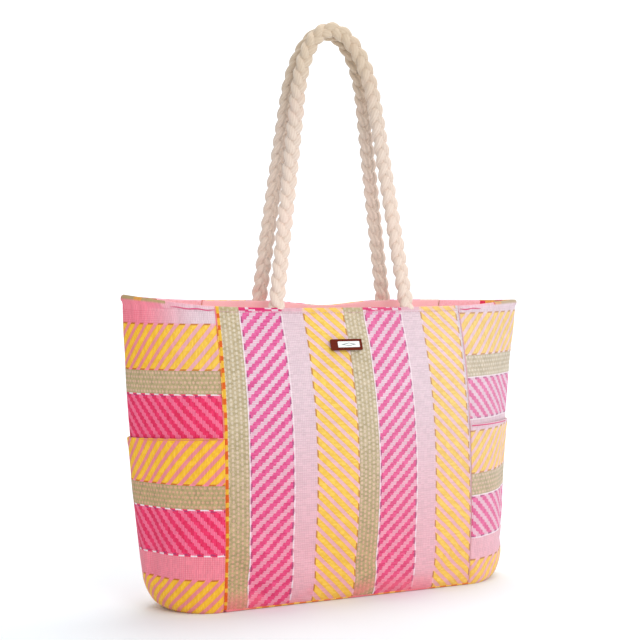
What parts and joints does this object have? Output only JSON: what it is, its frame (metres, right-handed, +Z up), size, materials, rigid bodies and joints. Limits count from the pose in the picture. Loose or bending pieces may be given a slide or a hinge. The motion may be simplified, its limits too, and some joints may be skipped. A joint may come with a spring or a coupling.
{
  "type": "beach tote bag",
  "caption": "Wide woven tote with side pockets, zip top and two braided rope handles, for carrying beach things.",
  "frame": {"origin": "on the ground, at the centre of the bag's footprint", "axes": "+Z up through the mouth and handles, +X to the bag's right seen from the front, front panel with the label towards -Y"},
  "size_m": [0.542, 0.153, 0.712],
  "materials": {
    "woven_front": "matte",
    "woven_side": "matte",
    "woven_base": "matte",
    "facing_cotton": "matte",
    "lining_cotton": "matte",
    "cotton_rope": "matte",
    "zip_tape": "matte",
    "zip_teeth": "satin",
    "zip_metal": "polished",
    "label_leather": "satin",
    "label_metal": "brushed"
  },
  "bodies": {
    "bag": {"front_panel": "woven_front", "back_panel": "woven_front", "left_gusset": "woven_side", "right_gusset": "woven_side", "base_panel": "woven_base", "left_side_pocket": "woven_side", "right_side_pocket": "woven_side", "front_facing": "facing_cotton", "back_facing": "facing_cotton", "left_facing": "facing_cotton", "right_facing": "facing_cotton", "lining": "lining_cotton", "inner_pocket": "lining_cotton", "front_handle_ends": "cotton_rope", "back_handle_ends": "cotton_rope", "zip_end_left": "facing_cotton", "zip_end_right": "facing_cotton", "zip_end_coils": "zip_teeth", "zip_stops": "zip_metal", "label_patch": "label_leather", "label_plate": "label_metal"},
    "front_handle_lower": {"front_handle_legs": "cotton_rope"},
    "front_handle_upper": {"front_handle_loop": "cotton_rope"},
    "back_handle_lower": {"back_handle_legs": "cotton_rope"},
    "back_handle_upper": {"back_handle_loop": "cotton_rope"},
    "front_flap": {"zip_panel_front": "facing_cotton", "zip_tape_front": "zip_tape", "zip_coil_front": "zip_teeth"},
    "back_flap": {"zip_panel_back": "facing_cotton", "zip_tape_back": "zip_tape", "zip_coil_back": "zip_teeth"},
    "slider": {"zip_slider": "zip_metal"},
    "pull": {"zip_pull": "zip_metal"}
  },
  "joints": [
    {"name": "front_handle_swing", "type": "hinge", "parent": "bag", "child": "front_handle_lower", "pos_m": [0, -0.02269, 0.375], "axis": [1, 0, 0], "range_deg": [0, 90]},
    {"name": "front_handle_bend", "type": "hinge", "parent": "front_handle_lower", "child": "front_handle_upper", "pos_m": [0, -0.01999, 0.442], "axis": [1, 0, 0], "range_deg": [0, 85]},
    {"name": "back_handle_swing", "type": "hinge", "parent": "bag", "child": "back_handle_lower", "pos_m": [0, 0.02269, 0.375], "axis": [-1, 0, 0], "range_deg": [0, 90]},
    {"name": "back_handle_bend", "type": "hinge", "parent": "back_handle_lower", "child": "back_handle_upper", "pos_m": [0, 0.01999, 0.442], "axis": [-1, 0, 0], "range_deg": [0, 85]},
    {"name": "front_flap_close", "type": "hinge", "parent": "bag", "child": "front_flap", "pos_m": [0, -0.0305, 0.324], "axis": [1, 0, 0], "range_deg": [0, 90]},
    {"name": "back_flap_close", "type": "hinge", "parent": "bag", "child": "back_flap", "pos_m": [0, 0.0305, 0.324], "axis": [-1, 0, 0], "range_deg": [0, 90]},
    {"name": "slider_travel", "type": "slide", "parent": "bag", "child": "slider", "axis": [-1, 0, 0], "range_m": [0, 0.363]},
    {"name": "pull_flip", "type": "hinge", "parent": "slider", "child": "pull", "pos_m": [0.1815, 0, 0.3279], "axis": [0, 1, 0], "range_deg": [0, 150]}
  ],
  "couplings": [
    {"joint": "back_flap_close", "follows": "front_flap_close", "ratio": 1}
  ]
}
